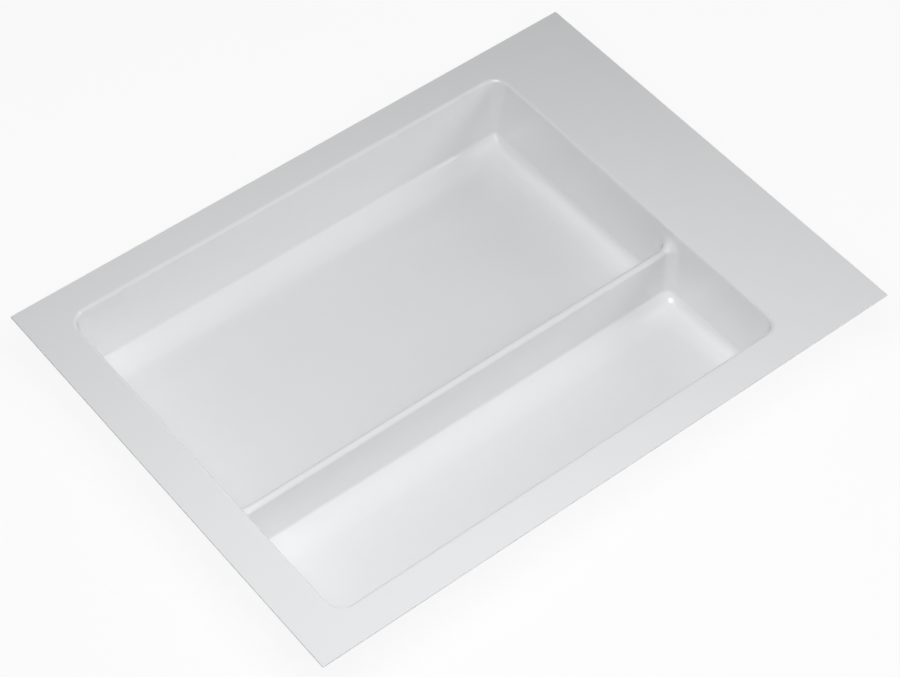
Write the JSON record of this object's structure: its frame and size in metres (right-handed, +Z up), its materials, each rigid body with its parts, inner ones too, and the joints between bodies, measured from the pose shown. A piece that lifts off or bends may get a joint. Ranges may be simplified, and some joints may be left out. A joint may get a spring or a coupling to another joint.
{
  "type": "cutlery tray",
  "caption": "Gloss white drawer tray formed from one plastic sheet: a flat flange for trimming, a large and a small compartment side by side, and a low hollow divider with flared ends.",
  "frame": {"origin": "under the middle of the flange's outline, on the surface that the compartment floors stand on", "axes": "+X across the drawer from the large compartment to the small one, +Y from the front to the back with the wide flange, +Z up"},
  "size_m": [0.36, 0.49, 0.064],
  "materials": {
    "white_plastic": "gloss"
  },
  "bodies": {
    "root": {"flange": "white_plastic", "large_compartment": "white_plastic", "divider": "white_plastic", "small_compartment": "white_plastic"}
  },
  "joints": []
}
